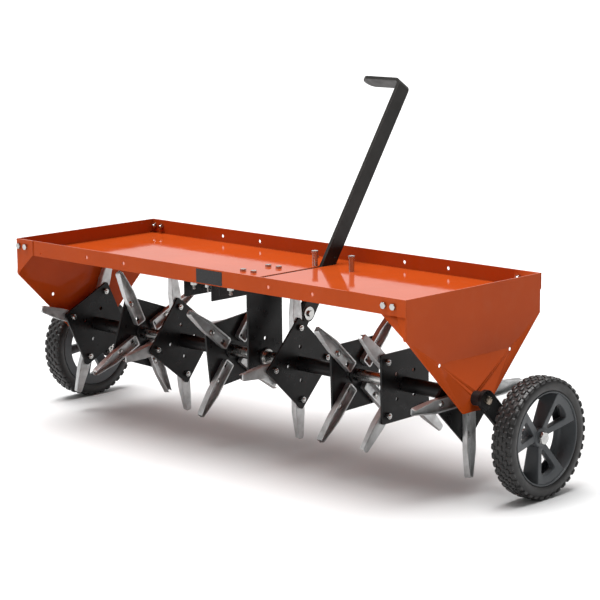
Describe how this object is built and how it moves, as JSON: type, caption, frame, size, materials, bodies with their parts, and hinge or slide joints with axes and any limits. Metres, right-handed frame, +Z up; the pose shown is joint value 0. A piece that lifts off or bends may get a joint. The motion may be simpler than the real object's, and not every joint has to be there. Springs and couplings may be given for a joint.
{
  "type": "core aerator",
  "caption": "Tow-behind core aerator: a weight tray over free-turning gangs of hollow tines, with a hand lift that swings the transport wheels, and a drawbar with a hitch jaw.",
  "frame": {"origin": "on the ground, under the middle of the whole machine's outline", "axes": "+X along the tray to its right end as the label side is seen, +Y to the towing side, +Z up"},
  "size_m": [1.47, 1.0204, 0.8095],
  "materials": {
    "orange_paint": "glossy powder coat",
    "black_paint": "semi-gloss powder coat",
    "zinc_plate": "zinc plated",
    "tine_steel": "dull zinc, stamped",
    "tyre_rubber": "matte rubber",
    "rim_plastic": "satin moulded",
    "black_plastic": "satin",
    "bushing_nylon": "satin",
    "label_film": "gloss film"
  },
  "bodies": {
    "frame": {"tray_pan": "orange_paint", "end_panel_left": "orange_paint", "end_panel_right": "orange_paint", "end_bushings": "black_plastic", "tray_end_bolts": "zinc_plate", "tray_end_nuts": "zinc_plate", "center_hanger": "black_paint", "hanger_bushing": "black_plastic", "floor_bolts": "zinc_plate", "floor_nuts": "zinc_plate", "tie_down_posts": "zinc_plate", "handle_stop": "black_paint", "label_plate": "label_film", "drawbar_rail_left": "black_paint", "drawbar_rail_right": "black_paint", "hitch_plate_upper": "black_paint", "hitch_plate_lower": "black_paint", "hitch_bolts": "zinc_plate", "hitch_nuts": "zinc_plate"},
    "lift": {"axle_shaft": "zinc_plate", "axle_spacers": "zinc_plate", "wheel_arm_left": "black_paint", "wheel_arm_right": "black_paint", "arm_bolts": "zinc_plate", "lift_lever": "black_paint", "lift_handle": "black_paint", "handle_bolts": "zinc_plate", "handle_nuts": "zinc_plate", "handle_washers": "zinc_plate", "wheel_sleeves": "zinc_plate", "wheel_bolts": "zinc_plate", "wheel_nuts": "zinc_plate"},
    "wheel_left": {"tyre_left": "tyre_rubber", "rim_left": "rim_plastic"},
    "wheel_right": {"tyre_right": "tyre_rubber", "rim_right": "rim_plastic"},
    "gang_1": {"gang_1_hub_tube": "black_paint", "gang_1_plates": "black_paint", "gang_1_bushings": "bushing_nylon", "gang_1_tines": "tine_steel", "gang_1_tine_bolts": "zinc_plate", "gang_1_tine_nuts": "zinc_plate"},
    "gang_2": {"gang_2_hub_tube": "black_paint", "gang_2_plates": "black_paint", "gang_2_bushings": "bushing_nylon", "gang_2_tines": "tine_steel", "gang_2_tine_bolts": "zinc_plate", "gang_2_tine_nuts": "zinc_plate"},
    "gang_3": {"gang_3_hub_tube": "black_paint", "gang_3_plates": "black_paint", "gang_3_bushings": "bushing_nylon", "gang_3_tines": "tine_steel", "gang_3_tine_bolts": "zinc_plate", "gang_3_tine_nuts": "zinc_plate"},
    "gang_4": {"gang_4_hub_tube": "black_paint", "gang_4_plates": "black_paint", "gang_4_bushings": "bushing_nylon", "gang_4_tines": "tine_steel", "gang_4_tine_bolts": "zinc_plate", "gang_4_tine_nuts": "zinc_plate"}
  },
  "joints": [
    {"name": "transport_lift", "type": "hinge", "parent": "frame", "child": "lift", "pos_m": [0, -0.28985, 0.2075], "axis": [1, 0, 0], "range_deg": [0, 67]},
    {"name": "wheel_left_spin", "type": "hinge", "parent": "lift", "child": "wheel_left", "pos_m": [-0.71, -0.20828, 0.127], "axis": [1, 0, 0], "continuous": true},
    {"name": "wheel_right_spin", "type": "hinge", "parent": "lift", "child": "wheel_right", "pos_m": [0.71, -0.20828, 0.127], "axis": [1, 0, 0], "continuous": true},
    {"name": "gang_1_spin", "type": "hinge", "parent": "lift", "child": "gang_1", "pos_m": [-0.5, -0.28985, 0.2075], "axis": [1, 0, 0], "continuous": true},
    {"name": "gang_2_spin", "type": "hinge", "parent": "lift", "child": "gang_2", "pos_m": [-0.192, -0.28985, 0.2075], "axis": [1, 0, 0], "continuous": true},
    {"name": "gang_3_spin", "type": "hinge", "parent": "lift", "child": "gang_3", "pos_m": [0.192, -0.28985, 0.2075], "axis": [1, 0, 0], "continuous": true},
    {"name": "gang_4_spin", "type": "hinge", "parent": "lift", "child": "gang_4", "pos_m": [0.5, -0.28985, 0.2075], "axis": [1, 0, 0], "continuous": true}
  ]
}
